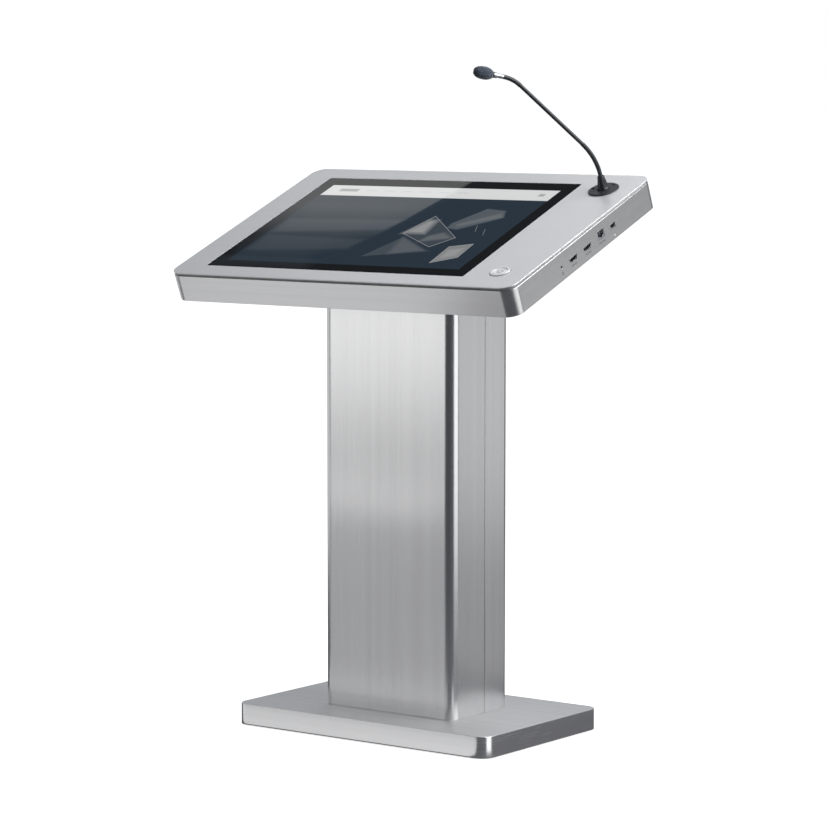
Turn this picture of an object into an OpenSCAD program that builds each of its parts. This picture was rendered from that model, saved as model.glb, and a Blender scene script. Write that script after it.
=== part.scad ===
// Free-standing touchscreen kiosk: steel base, column and sloping head with a
// flush glass screen, a push button, a gooseneck microphone and side sockets.
// Origin at the middle of the footprint on the floor. +X is the user's right,
// +Y points away from the user, +Z is up. Millimetres.

/* [Base] */
// Width of the base box
base_w = 566; // [500:2:640]
// Depth of the base box
base_d = 362; // [330:2:420]
// Height of the base box above the floor
base_h = 41; // [36:1:60]
// Radius of the base's upright corners
base_r = 25; // [22:1:40]
// Thickness of the base's sheet steel
base_sheet = 2; // [1.5:0.5:3]
// Thickness of the ballast plate
ballast_t = 8; // [6:1:14]
// Thickness of the rubber pads under the base
pad_t = 2; // [1:0.5:4]
// Diameter of the cable hole up from the floor
floor_cable_dia = 50; // [30:5:55]
// Middle of the cable hole, behind the middle of the column
floor_cable_y = 40; // [30:1:42]

/* [Floor anchors] */
// Diameter of the anchor holes
anchor_dia = 11; // [9:1:13]
// Spacing of the anchor holes from left to right
anchor_x = 150; // [140:5:160]
// Spacing of the anchor holes from front to back
anchor_y = 116; // [110:2:120]

/* [Column] */
// Width of the column
column_w = 294; // [280:2:320]
// Depth of the column
column_d = 178; // [172:2:190]
// Radius of the column's upright corners
column_r = 20; // [12:1:30]
// Middle of the column, behind the middle of the base
column_y = -3; // [-10:1:10]
// Where the front and rear shells meet, behind the middle of the base
seam_y = 8; // [0:1:16]
// Open line between the front and rear shells
seam_gap = 1; // [0.5:0.5:2]
// Thickness of the column's sheet steel
column_sheet = 2; // [1.5:0.5:2.5]
// Width of the square posts inside the column
post_w = 40; // [30:5:40]

/* [Service door] */
// Width of the door opening in the rear shell
door_w = 176; // [150:2:180]
// Height of the door opening
door_h = 520; // [400:10:560]
// Height of the door opening's lower edge
door_z = 150; // [130:10:200]
// Gap round the door
door_gap = 2; // [1:0.5:3]

/* [Head] */
// Width of the head
head_w = 762; // [740:2:800]
// Depth of the head along its slope
head_d = 480; // [476:2:520]
// Thickness of the head, square to its slope
head_t = 56; // [54:1:70]
// Radius of the head's corners
head_r = 25; // [18:1:40]
// Slope of the screen above the horizontal, in degrees
head_tilt = 22; // [15:1:30]
// Front edge of the top panel, ahead of the middle of the base
head_front = 250.5; // [240:0.5:260]
// Height of the top panel's front edge
head_front_z = 837.5; // [800:0.5:900]
// Thickness of the top panel
panel_t = 2; // [1.5:0.5:3]
// Distance from the panel's face down to the tray's rim
groove_h = 6.5; // [5:0.5:8]
// Thickness of the tray's sheet steel
tray_sheet = 2; // [1.5:0.5:3]

/* [Screen] */
// Width of the glass
glass_w = 575; // [560:1:580]
// Height of the glass along the slope
glass_d = 398; // [380:1:400]
// Thickness of the glass
glass_t = 4; // [3:1:4]
// Middle of the glass, left of the middle of the head
glass_left = 31.5; // [30:0.5:33]
// Middle of the glass, up the slope from the head's front edge
glass_v = 238; // [236:1:240]
// Width of the display module
lcd_w = 540; // [536:1:544]
// Height of the display module
lcd_d = 362; // [358:1:364]
// Thickness of the display module
lcd_t = 12; // [10:0.5:12]

/* [Button and microphone] */
// Middle of the button, right of the middle of the head
button_x = 319; // [316:1:320]
// Middle of the button, up the slope
button_v = 64; // [60:1:70]
// Diameter of the button's bezel
bezel_dia = 38; // [36:1:40]
// Middle of the microphone's flange, right of the middle of the head
mic_x = 318; // [316:1:320]
// Middle of the microphone's flange, up the slope
mic_v = 413; // [405:1:420]
// Diameter of the microphone's flange
mic_flange_dia = 57; // [52:1:60]
// Direction the microphone leans in, from straight towards the user
mic_yaw = 40; // [20:5:60]
// Where the neck leaves its boot, above the panel
neck_start = 26; // [24:1:30]
// Bend radius of the neck's lower part
lower_bend_r = 130; // [110:5:150]
// Angle that the lower part bends through
lower_bend = 32; // [24:2:40]
// Length of the stiff tube in the middle
stem_l = 165; // [140:5:200]
// Bend radius of the neck's upper part
upper_bend_r = 70; // [60:5:80]
// Angle that the upper part bends through
upper_bend = 30; // [20:2:40]
// Diameter of the bending parts of the neck
flex_dia = 8; // [7:0.5:9]
// Diameter of the stiff tube
stem_dia = 7; // [6:0.5:8]
// Diameter of the foam windscreen
windscreen_dia = 24; // [20:1:28]
// Length of the foam windscreen
windscreen_l = 37; // [30:1:45]

/* [Hidden] */
$fn = 64;

steel = [0.76, 0.76, 0.77];
dark_steel = [0.36, 0.37, 0.38];
black = [0.08, 0.09, 0.10];
slate = [0.13, 0.16, 0.19];
board_green = [0.08, 0.30, 0.18];
big = 1400;

base_plate_z = pad_t;
cover_in_z = base_h - base_sheet;
bolt_x = 240;
bolt_y = 124;
bolt_r = 4;
flange_t = 8;
post_x = 110;
column_back = column_y + column_d / 2;
access_dia = 26;
running = 0.3;

rim_w = -groove_h;
floor_w = -head_t + tray_sheet;
rim_flange = 12;
seal_in = 4;
seal_width = 8;
stud_in = seal_in + seal_width / 2;
stud_r = 2;
nut_h = 3.2;
glass_gap = 0.8;
ledge = 12;
glass_x = -glass_left;
lcd_top = -glass_t - 0.5;
rail_x = 170;
rail_t = 2.5;
rail_low = lcd_top - lcd_t - 0.5 - rail_t;
rail_foot = 18;
rail_foot_v = 14;
head_plate_t = 8;
head_plate_v = (column_y + head_front - (head_t + 4) * sin(head_tilt)) / cos(head_tilt);
tray_bolt_x = 90;
tray_bolt_v = 55;
pass_w = 120;
pass_d = 60;

// Sockets: place up the slope, and middle below the panel's face
video_front_v = 194.5;
video_rear_v = 241.5;
video_w = -32.8;
network_v = 289;
network_w = -28.5;
usb_v = 329.7;
usb_w = -30.3;
jack_v = 155.3;
jack_w = -31.6;
lamp_v = 330.4;
lamp_w = -48;
video_size = [25, 9.5];
network_size = [22, 16.5];
usb_size = [16.5, 9.5];
jack_dia = 6;
lamp_dia = 5;
board_top = -39.5;
board_t = 1.6;
side_face = head_w / 2;

bezel_h = 1.6;
barrel_r = 15;
barrel_bore = 13.3;
barrel_low = -24;
cap_r = barrel_bore - running;
cap_top = 0.9;
cap_t = 3;
plunger_r = 4;
switch_top = -16;

mic_flange_t = 3;
socket_r = 12;
boot_r = 10.5;
boot_top_r = 5.5;
screw_circle = 44;
half_bend = lower_bend / 2;
body_gap = 0.4;
tip_l = 12;
collar_l = 6;
root_r = 2.5;

hinge_x = door_w / 2;
hinge_y = column_back + 4;
hinge_l = 60;
hinge_r = 4;
pin_r = 2;
hinge_heights = [door_z + 60, door_z + door_h - 60];
lock_z = door_z + door_h / 2;
lock_x = -door_w / 2 + 22;
lock_depth = 7.5;
cam_t = 2.5;
screw_heights = [110, 420, 730];
shell_screw_r = 2;
lip_w = 14;

inlet_z = 95;
inlet_w = 27;
inlet_h = 20;
inlet_screw = 20;

computer_size = [190, 130, 26];
supply_size = [160, 98, 26];
computer_at = [-215, 250];
supply_at = [150, 130];
board_front = 140;
board_back = 352;
board_out = side_face - 4;
board_in = side_face - 46;
cable_rise = lcd_top - lcd_t - floor_w - computer_size[2];

// A flat rounded rectangle, made only of rectangles and circles
module rounded(w, d, r) {
    square([w - 2 * r, d], center = true);
    square([w, d - 2 * r], center = true);
    for (x = [-1, 1], y = [-1, 1])
        translate([x * (w / 2 - r), y * (d / 2 - r)]) circle(r);
}

module plate(w, d, r, low, high) {
    translate([0, 0, low]) linear_extrude(high - low) rounded(w, d, r);
}

module ring(w, d, r, wall, low, high) {
    translate([0, 0, low]) linear_extrude(high - low) difference() {
        rounded(w, d, r);
        rounded(w - 2 * wall, d - 2 * wall, max(r - wall, 1));
    }
}

module disc(r, low, high) {
    translate([0, 0, low]) cylinder(r = r, h = high - low);
}

module hexagon(across, low, high) {
    translate([0, 0, low]) linear_extrude(high - low)
        intersection_for(a = [0, 60, 120])
            rotate(a) square([across, 2 * across], center = true);
}

// The head's own frame: X to the right, Y up the slope, Z square to the panel,
// from the middle of the top panel's front edge
module in_head() {
    translate([0, -head_front, head_front_z]) rotate([head_tilt, 0, 0]) children();
}

module at_glass() {
    translate([glass_x, glass_v, 0]) children();
}

module head_block(high) {
    in_head() translate([-big / 2, -big / 2, high - big]) cube(big);
}

module four(dx, dy) {
    for (x = [-1, 1], y = [-1, 1])
        translate([x * dx / 2, y * dy / 2, 0]) children();
}

// Places of the studs and nuts that hold the top panel down
module at_studs() {
    for (x = [-300, -100, 100, 300], v = [stud_in, head_d - stud_in])
        translate([x, v, 0]) children();
    for (x = [-1, 1], v = [110, 370])
        translate([x * (head_w / 2 - stud_in), v, 0]) children();
}

// Places of the studs and nuts that hold the display rails up
module at_rail_studs() {
    for (x = [-rail_x, rail_x], v = [rail_foot_v, head_d - rail_foot_v])
        translate([glass_x + x, v + (v < head_d / 2 ? 1 : -1) * rail_foot / 2, 0]) children();
}

// ---- Base ----

module cable_hole() {
    translate([0, floor_cable_y, 0]) disc(floor_cable_dia / 2, 0, base_h + 20);
}

// One pad near each corner and one in the middle
module floor_pads() {
    color(black) {
        four(480, 280) disc(20, 0, pad_t);
        disc(12, 0, pad_t);
    }
}

module ballast_plate() {
    color(dark_steel) difference() {
        plate(base_w - 6, base_d - 6, base_r - 3, base_plate_z, base_plate_z + ballast_t);
        translate([0, column_y, 0]) {
            four(anchor_x, anchor_y) disc(anchor_dia / 2, -1, base_h);
            four(bolt_x, bolt_y) disc(bolt_r, -1, base_h);
            cable_hole();
        }
    }
}

// The top sheet of the cover
module base_cover() {
    color(steel) difference() {
        plate(base_w, base_d, base_r, cover_in_z, base_h);
        translate([0, column_y, 0]) {
            four(anchor_x, anchor_y) disc(access_dia / 2, 0, base_h + 1);
            four(bolt_x, bolt_y) disc(bolt_r + 0.5, 0, base_h + 1);
            cable_hole();
        }
    }
}

module base_wall() {
    ring(base_w, base_d, base_r, base_sheet, base_plate_z, cover_in_z);
}

// The four upright sides of the cover, welded to the top sheet
module base_sides() {
    color(steel) intersection() {
        base_wall();
        union() {
            cube([base_w - 2 * base_r, 2 * base_d, 3 * base_h], center = true);
            cube([2 * base_w, base_d - 2 * base_r, 3 * base_h], center = true);
        }
    }
}

// The rounded corners between the sides
module base_corners() {
    color(steel) intersection() {
        base_wall();
        four(base_w, base_d) cube([2 * base_r, 2 * base_r, 3 * base_h], center = true);
    }
}

module base_spacers() {
    color(dark_steel) translate([0, column_y, 0]) four(bolt_x, bolt_y) difference() {
        disc(bolt_r + 5, base_plate_z + ballast_t, cover_in_z);
        disc(bolt_r + 0.5, 0, base_h);
    }
}

module column_bolts() {
    color(dark_steel) translate([0, column_y, 0]) four(bolt_x, bolt_y) {
        disc(bolt_r - 0.05, base_plate_z + 1, base_h + flange_t);
        hexagon(13, base_h + flange_t, base_h + flange_t + 5.3);
    }
}

// ---- Column ----

// Welded: foot flange, two square posts and the sloping plate that carries the head
module column_frame() {
    color(dark_steel) difference() {
        union() {
            translate([0, column_y, 0]) difference() {
                plate(276, 156, 12, base_h, base_h + flange_t);
                four(anchor_x, anchor_y) disc(access_dia / 2, 0, base_h + 20);
                four(bolt_x, bolt_y) disc(bolt_r + 0.5, 0, base_h + 20);
                cable_hole();
            }
            intersection() {
                for (x = [-post_x, post_x]) translate([x, column_y, 0])
                    ring(post_w, post_w, 4, 3, base_h + flange_t, 1100);
                head_block(-head_t - head_plate_t);
            }
            in_head() translate([0, head_plate_v, 0])
                plate(276, 150, 8, -head_t - head_plate_t, -head_t);
        }
        in_head() translate([0, head_plate_v, 0]) {
            plate(pass_w - 10, pass_d - 10, 10, -head_t - 20, 0);
            four(2 * tray_bolt_x, 2 * tray_bolt_v) disc(3.3, -head_t - 20, 0);
        }
    }
}

module column_shell(from_y, to_y) {
    intersection() {
        translate([0, column_y, 0])
            ring(column_w, column_d, column_r, column_sheet, base_h, 1100);
        translate([-column_w, from_y, 0]) cube([2 * column_w, to_y - from_y, 1200]);
        head_block(-head_t);
    }
}

// Turned-in lips behind the seam, which the two shells are screwed together by
module seam_lips(y) {
    intersection() {
        for (x = [-1, 1])
            translate([x * (column_w / 2 - column_sheet - lip_w / 2) - lip_w / 2, y - 1,
                base_h + 10]) cube([lip_w, 2, 1100]);
        head_block(-head_t - 14);
    }
}

module at_shell_screws() {
    for (x = [-1, 1], z = screw_heights)
        translate([x * (column_w / 2 - column_sheet - 8), seam_y, z])
            rotate([-90, 0, 0]) children();
}

module column_front_shell() {
    color(steel) difference() {
        union() {
            column_shell(-big, seam_y - seam_gap / 2);
            seam_lips(seam_y - seam_gap / 2 - 1);
        }
        at_shell_screws() disc(shell_screw_r + 0.2, -6, 6);
    }
}

module column_rear_shell() {
    color(steel) difference() {
        union() {
            column_shell(seam_y + seam_gap / 2, big);
            seam_lips(seam_y + seam_gap / 2 + 1);
        }
        at_shell_screws() disc(shell_screw_r + 0.2, -6, 6);
        translate([-door_w / 2, column_back - 10, door_z]) cube([door_w, 20, door_h]);
        translate([0, column_back, inlet_z]) {
            cube([inlet_w + 1, 20, inlet_h + 1], center = true);
            for (x = [-1, 1]) translate([x * inlet_screw, -10, 0])
                rotate([-90, 0, 0]) disc(1.7, 0, 20);
        }
    }
}

module shell_screws() {
    color(dark_steel) at_shell_screws() {
        disc(shell_screw_r, -6, 2.5);
        disc(3.6, 2.5, 4.8);
    }
}

// ---- Service door ----

module service_door() {
    leaf_w = door_w - 2 * door_gap;
    leaf_h = door_h - 2 * door_gap;
    color(steel) difference() {
        translate([0, column_back, door_z + door_h / 2]) rotate([90, 0, 0]) {
            plate(leaf_w, leaf_h, 3, 0, column_sheet);
            ring(leaf_w - 60, leaf_h - 60, 3, 2, 0, 10);
        }
        translate([lock_x, 0, lock_z]) rotate([-90, 0, 0]) disc(9.6, 0, 200);
    }
}

module hinge_leaf(side) {
    for (z = hinge_heights) difference() {
        union() {
            translate([hinge_x + (side > 0 ? 0.5 : -24.5), column_back, z - hinge_l / 2])
                cube([24, 2, hinge_l]);
            for (k = side > 0 ? [-1, 1] : [0]) translate([hinge_x, hinge_y, z + k * 20]) {
                disc(hinge_r, -10 + running / 2, 10 - running / 2);
                translate([side > 0 ? 0 : -hinge_r, -4, -10 + running / 2])
                    cube([hinge_r, 4, 20 - running]);
            }
        }
        translate([hinge_x, hinge_y, z])
            disc(side > 0 ? pin_r : pin_r + 0.05, -hinge_l, hinge_l);
        translate([hinge_x, column_back, z - (side > 0 ? 10 : hinge_l)])
            hinge_relief(side);
    }
}

// Clears each leaf away from the other leaf's knuckles
module hinge_relief(side) {
    if (side > 0) translate([-5, -1, 0]) cube([10, 12, 20]);
    else for (z = [0, 2 * hinge_l - 50]) translate([-5, -1, z]) cube([10, 12, 50]);
}

module door_hinges() {
    color(steel) hinge_leaf(1);
}

module door_hinge_leaves() {
    color(steel) hinge_leaf(-1);
}

module door_hinge_pins() {
    color(dark_steel) for (z = hinge_heights) translate([hinge_x, hinge_y, z]) {
        disc(pin_r, -hinge_l / 2, hinge_l / 2);
        disc(hinge_r - 1, hinge_l / 2, hinge_l / 2 + 1.5);
    }
}

module door_lock_barrel() {
    color(steel) translate([lock_x, column_back, lock_z]) rotate([-90, 0, 0]) {
        disc(9.5, -lock_depth, 0);
        disc(12, 0, 2.5);
    }
}

// The cam hangs down when the door is free; its raised tip turns behind the shell to lock
module door_lock_cam() {
    arm = 36;
    tip = lock_depth - column_sheet - running;
    color(dark_steel) translate([lock_x, column_back - lock_depth - running, lock_z])
        rotate([90, 0, 0]) {
            disc(7, 0, cam_t);
            translate([-6, -arm, 0]) cube([12, arm, cam_t]);
            translate([-6, -arm, -tip]) cube([12, 7, tip + cam_t]);
        }
}

// ---- Mains inlet ----

module mains_inlet() {
    color(black) translate([0, column_back, inlet_z]) rotate([-90, 0, 0]) difference() {
        union() {
            plate(50, 24, 3, 0, 3);
            plate(inlet_w, inlet_h, 2, -26, 0);
        }
        plate(24, 16, 3, -16, 4);
        for (x = [-1, 1]) translate([x * inlet_screw, 0, 0]) disc(1.7, -1, 4);
    }
    color(steel) translate([0, column_back, inlet_z]) rotate([-90, 0, 0])
        for (x = [-7, 0, 7]) translate([x, x == 0 ? -2 : 2, -10])
            cube([2, 4, 14], center = true);
}

module inlet_screws() {
    color(steel) translate([0, column_back, inlet_z]) rotate([-90, 0, 0])
        for (x = [-1, 1]) translate([x * inlet_screw, 0, 0]) {
            disc(1.6, -6, 3);
            disc(2.8, 3, 4.6);
        }
}

// ---- Head ----

module head_tray() {
    color(steel) in_head() difference() {
        translate([0, head_d / 2, 0]) {
            ring(head_w, head_d, head_r, tray_sheet, -head_t, rim_w);
            plate(head_w, head_d, head_r, -head_t, floor_w);
            ring(head_w, head_d, head_r, rim_flange, rim_w - tray_sheet, rim_w);
        }
        at_studs() disc(stud_r + 0.25, rim_w - 3, 0);
        translate([0, head_plate_v, 0]) {
            plate(pass_w, pass_d, 8, -head_t - 1, floor_w + 1);
            four(2 * tray_bolt_x, 2 * tray_bolt_v) disc(3.3, -head_t - 1, floor_w + 1);
        }
        for (v = [video_front_v, video_rear_v]) at_port(v, video_w) video_outline(0);
        at_port(network_v, network_w) port_box(network_size, 0);
        at_port(usb_v, usb_w) port_box(usb_size, 0);
        at_port(jack_v, jack_w) disc(jack_dia / 2, -12, 12);
        at_port(lamp_v, lamp_w) disc(lamp_dia / 2, -12, 12);
        for (x = [-1, 1], k = [0 : 7]) translate([x * 335 - 25, 130 + 28 * k, -head_t - 1])
            cube([50, 4, 5]);
    }
}

// A socket's frame on the right side: X up the slope, Y up the face, Z outwards
module at_port(v, w) {
    translate([side_face, v, w]) rotate([90, 0, 90]) children();
}

module port_box(size, shrink, low = -12, high = 12) {
    translate([0, 0, low]) linear_extrude(high - low)
        square([size[0] - 2 * shrink, size[1] - 2 * shrink], center = true);
}

// A rectangle with its two lower corners cut off
module video_outline(shrink, low = -12, high = 12) {
    w = video_size[0] / 2 - shrink;
    h = video_size[1] / 2 - shrink;
    translate([0, 0, low]) linear_extrude(high - low)
        polygon([[-w, h], [w, h], [w, -h * 0.1], [w - 3.5, -h], [3.5 - w, -h], [-w, -h * 0.1]]);
}

module tray_bolts() {
    color(dark_steel) in_head() translate([0, head_plate_v, 0])
        four(2 * tray_bolt_x, 2 * tray_bolt_v) {
            disc(3.2, -head_t - head_plate_t - 4, floor_w);
            hexagon(10, floor_w, floor_w + 4);
        }
}

module panel_seal() {
    color(dark_steel) in_head() difference() {
        translate([0, head_d / 2, 0]) ring(head_w - 2 * seal_in, head_d - 2 * seal_in,
            head_r - seal_in, seal_width, rim_w, -panel_t);
        at_studs() disc(stud_r + 0.2, rim_w - 1, 0);
    }
}

module top_panel() {
    color(steel) in_head() {
        difference() {
            union() {
                translate([0, head_d / 2, 0]) plate(head_w, head_d, head_r, -panel_t, 0);
                at_glass() plate(glass_w + 6, glass_d + 6, 4, -glass_t - 2, -panel_t);
            }
            at_glass() {
                plate(glass_w + 2 * glass_gap, glass_d + 2 * glass_gap, 3,
                    -glass_t - 0.5, 1);
                plate(glass_w - 2 * ledge, glass_d - 2 * ledge, 2, -20, 1);
            }
            translate([button_x, button_v, 0]) disc(barrel_r + 0.2, -9, 9);
            translate([mic_x, mic_v, 0]) {
                disc(socket_r + 0.2, -9, 9);
                at_flange_screws() disc(1.6, -9, 9);
            }
        }
        at_studs() disc(stud_r, rim_w - tray_sheet - nut_h - 2, -panel_t);
        at_rail_studs() disc(stud_r, -panel_t - rail_t - nut_h - 2, -panel_t);
    }
}

// Clear bead that fills the gap between the glass and the panel
module glass_bead() {
    color([0.85, 0.86, 0.87]) in_head() at_glass()
        ring(glass_w + 2 * glass_gap, glass_d + 2 * glass_gap, 3, glass_gap, -2, -0.3);
}

module screen_glass() {
    color(black) in_head() at_glass() plate(glass_w, glass_d, 3, -glass_t, 0);
}

module bonding_layer() {
    color([0.5, 0.55, 0.6]) in_head() at_glass()
        plate(lcd_w - 4, lcd_d - 4, 1.5, lcd_top, -glass_t);
}

module display_module() {
    color(dark_steel) in_head() at_glass() {
        plate(lcd_w, lcd_d, 2, lcd_top - lcd_t, lcd_top);
    }
}

module display_rails() {
    color(steel) in_head() difference() {
        for (x = [-rail_x, rail_x]) translate([glass_x + x - 15, 0, 0]) {
            translate([0, rail_foot_v + rail_foot, rail_low])
                cube([30, head_d - 2 * (rail_foot_v + rail_foot), rail_t]);
            for (back = [0, 1]) translate([0, back * head_d, 0]) mirror([0, back, 0]) {
                translate([0, rail_foot_v, -panel_t - rail_t]) cube([30, rail_foot, rail_t]);
                translate([0, rail_foot_v + rail_foot - rail_t, rail_low])
                    cube([30, rail_t, -panel_t - rail_low]);
            }
        }
        at_rail_studs() disc(stud_r + 0.25, -20, 0);
    }
}

module panel_nuts() {
    color(steel) in_head() {
        at_studs() nut(rim_w - tray_sheet);
        at_rail_studs() nut(-panel_t - rail_t);
    }
}

module nut(top) {
    difference() {
        hexagon(7, top - nut_h, top);
        disc(stud_r, top - 9, top + 1);
    }
}

// ---- Electronics ----

module at_ears(at, size) {
    for (x = [-1, 1], y = [-1, 1])
        translate([at[0] + x * (size[0] / 2 + 7), at[1] + y * (size[1] / 2 - 16), 0]) children();
}

module eared_box(at, size) {
    difference() {
        union() {
            translate([at[0], at[1], 0])
                plate(size[0], size[1], 3, floor_w, floor_w + size[2]);
            at_ears(at, size) plate(16, 14, 2, floor_w, floor_w + 2);
        }
        at_ears(at, size) disc(2.1, floor_w - 1, floor_w + 3);
        children();
    }
}

module computer() {
    color(black) in_head() eared_box(computer_at, computer_size)
        for (k = [-8 : 8]) translate([computer_at[0] + 10 * k - 2.5, computer_at[1] - 55,
            floor_w + 16]) cube([5, 110, 20]);
}

module power_supply() {
    color(steel) in_head() eared_box(supply_at, supply_size)
        for (k = [-6 : 6]) translate([supply_at[0] + 10 * k - 1.5, supply_at[1] - 35,
            floor_w + 24]) cube([3, 70, 6]);
}

module electronics_screws() {
    color(steel) in_head() for (b = [[computer_at, computer_size], [supply_at, supply_size]])
        at_ears(b[0], b[1]) {
            disc(2, floor_w, floor_w + 2);
            disc(3.5, floor_w + 2, floor_w + 4.2);
        }
}

module at_board_posts() {
    for (x = [board_in + 6, board_out - 6], v = [board_front + 6, board_back - 6])
        translate([x, v, 0]) children();
}

module port_board() {
    color(board_green) in_head() difference() {
        translate([board_in, board_front, board_top - board_t])
            cube([board_out - board_in, board_back - board_front, board_t]);
        at_board_posts() disc(1.6, -60, 0);
    }
}

module port_board_posts() {
    color(steel) in_head() at_board_posts() {
        disc(3, floor_w, board_top - board_t);
        disc(1.5, board_top - board_t, board_top + 2);
    }
}

// Foot that stands a socket on the port board
module socket_foot(width, low, high, w, half_height) {
    down = board_top - w;
    translate([-width / 2, down, low]) cube([width, -half_height - down, high - low]);
}

module video_socket(v) {
    color(black) in_head() at_port(v, video_w) {
        difference() {
            video_outline(0.4, -18, -0.5);
            video_outline(1.2, -12, 1);
        }
        translate([0, 1, -8.5]) cube([15, 1.6, 9], center = true);
        socket_foot(12, -17, -9, video_w, video_size[1] / 2 - 0.4);
    }
}

module network_socket() {
    color(steel) in_head() at_port(network_v, network_w) difference() {
        union() {
            port_box(network_size, 0.4, -22, -0.5);
            socket_foot(14, -20, -8, network_w, network_size[1] / 2 - 0.4);
        }
        translate([0, 1, -8]) cube([17, 11, 18], center = true);
        translate([0, -5, -8]) cube([8, 4, 18], center = true);
    }
}

module usb_socket() {
    color(steel) in_head() at_port(usb_v, usb_w) {
        difference() {
            union() {
                port_box(usb_size, 0.4, -18, -0.5);
                socket_foot(11, -16, -6, usb_w, usb_size[1] / 2 - 0.4);
            }
            port_box(usb_size, 1.2, -13, 1);
        }
        translate([0, 1.6, -9]) cube([11, 1.8, 10], center = true);
    }
}

module audio_jack() {
    color(black) in_head() at_port(jack_v, jack_w) difference() {
        union() {
            disc(jack_dia / 2 - 0.15, -4, -0.5);
            translate([-5, board_top - jack_w, -18]) cube([10, 13, 14]);
        }
        disc(1.8, -16, 1);
    }
}

module status_lamp() {
    color([0.75, 0.78, 0.8]) in_head() at_port(lamp_v, lamp_w) {
        disc(lamp_dia / 2 - 0.15, -8, -0.6);
        disc(lamp_dia / 2 + 0.5, -9, -tray_sheet - 0.2);
    }
}

// ---- Power button ----

module at_button() {
    in_head() translate([button_x, button_v, 0]) children();
}

module button_bezel() {
    color(steel) at_button() difference() {
        union() {
            disc(bezel_dia / 2 - 0.6, 0, bezel_h);
            disc(bezel_dia / 2, 0, bezel_h - 0.6);
            disc(barrel_r, barrel_low, 0);
        }
        disc(barrel_bore, barrel_low - 1, bezel_h + 1);
    }
}

module button_nut() {
    color(steel) at_button() difference() {
        hexagon(36, -panel_t - 5, -panel_t);
        disc(barrel_r, -20, 0);
    }
}

module button_cap() {
    color(steel) at_button() {
        disc(cap_r, cap_top - cap_t, cap_top);
        disc(plunger_r, cap_top - cap_t - 9, cap_top - cap_t);
    }
}

// A coil of round wire round the plunger, from the switch up to the cap
module button_spring() {
    turns = 5;
    coil_r = 7;
    wire_r = 0.5;
    steps = 16 * turns;
    sides = 8;
    rise = cap_top - cap_t - switch_top - 2 * wire_r;
    rings = [for (i = [0 : steps], j = [0 : sides - 1])
        let (a = 360 * turns * i / steps, b = 360 * j / sides, r = coil_r + wire_r * cos(b))
        [r * cos(a), r * sin(a), rise * i / steps + wire_r * sin(b)]];
    skin = [for (i = [0 : steps - 1], j = [0 : sides - 1]) let (k = (j + 1) % sides)
        [i * sides + j, i * sides + sides + j, i * sides + sides + k, i * sides + k]];
    first = [for (j = [0 : sides - 1]) j];
    last = [for (j = [sides - 1 : -1 : 0]) steps * sides + j];
    color(steel) at_button() translate([0, 0, switch_top + wire_r])
        polyhedron(rings, concat([first], skin, [last]));
}

module button_switch() {
    color(black) at_button() {
        difference() {
            disc(barrel_bore, barrel_low, switch_top);
            disc(plunger_r + 0.5, -20, 0);
        }
        for (x = [-6, 6]) translate([x - 1.5, -0.4, barrel_low - 8]) cube([3, 0.8, 8]);
    }
}

// ---- Microphone ----

module at_mic() {
    in_head() translate([mic_x, mic_v, 0]) rotate([0, 0, -90 - mic_yaw]) children();
}

module at_flange_screws() {
    for (a = [90, 210, 330]) rotate([0, 0, a + 90])
        translate([screw_circle / 2, 0, 0]) children();
}

module mic_flange() {
    color(slate) at_flange() difference() {
        union() {
            disc(mic_flange_dia / 2, 0, mic_flange_t - 1);
            translate([0, 0, mic_flange_t - 1])
                cylinder(h = 1, r1 = mic_flange_dia / 2, r2 = mic_flange_dia / 2 - 1.5);
        }
        disc(socket_r + 0.2, -1, 9);
        at_flange_screws() disc(1.6, -1, 9);
    }
}

module at_flange() {
    in_head() translate([mic_x, mic_v, 0]) children();
}

module mic_flange_screws() {
    color(steel) at_flange() at_flange_screws() {
        disc(1.5, -7, mic_flange_t);
        disc(2.8, mic_flange_t, mic_flange_t + 1.4);
    }
}

// The socket goes down through the panel; its three contacts stand out below
module mic_socket() {
    color(black) at_flange() {
        disc(socket_r, -26, mic_flange_t + 1);
        for (a = [0, 120, 240]) rotate(a) translate([5, 0, -31]) cylinder(r = 1, h = 5);
    }
}

// Ribbed rubber boot round the foot of the neck
module mic_boot() {
    ribs = 4;
    rib_h = 2;
    low = mic_flange_t + 1;
    step = (neck_start - low - 6) / ribs;
    color(black) at_flange() difference() {
        union() {
            disc(boot_r, low, low + 6);
            for (k = [0 : ribs - 1]) {
                r = boot_r - 1 - k * (boot_r - 1 - boot_top_r) / ribs;
                disc(r, low + 6 + k * step, low + 6 + (k + 1) * step - rib_h / 2);
                disc(r - 0.8, low + 6 + (k + 1) * step - rib_h / 2, low + 6 + (k + 1) * step);
            }
        }
        disc(root_r, low + 4, neck_start + 1);
    }
}

// A bent round bar that starts upwards along Z and turns towards X
module bend(bend_r, angle, r) {
    translate([bend_r, 0, 0]) mirror([1, 0, 0]) rotate([90, 0, 0])
        rotate_extrude(angle = angle) translate([bend_r, 0]) circle(r, $fn = 32);
}

module after_bend(bend_r, angle) {
    translate([bend_r * (1 - cos(angle)), 0, bend_r * sin(angle)])
        rotate([0, angle, 0]) children();
}

function gap_angle(bend_r) = body_gap / bend_r * 180 / PI;

module at_neck() {
    at_mic() translate([0, 0, neck_start]) children();
}

module neck_flex_bottom() {
    root = neck_start - mic_flange_t - 5;
    color(slate) at_neck() {
        bend(lower_bend_r, half_bend - gap_angle(lower_bend_r), flex_dia / 2);
        disc(root_r, -root, 0);
    }
}

module neck_flex_middle() {
    color(slate) at_neck() after_bend(lower_bend_r, half_bend)
        bend(lower_bend_r, half_bend - gap_angle(lower_bend_r), flex_dia / 2);
}

module after_lower_bend() {
    at_neck() after_bend(lower_bend_r, lower_bend) children();
}

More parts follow.
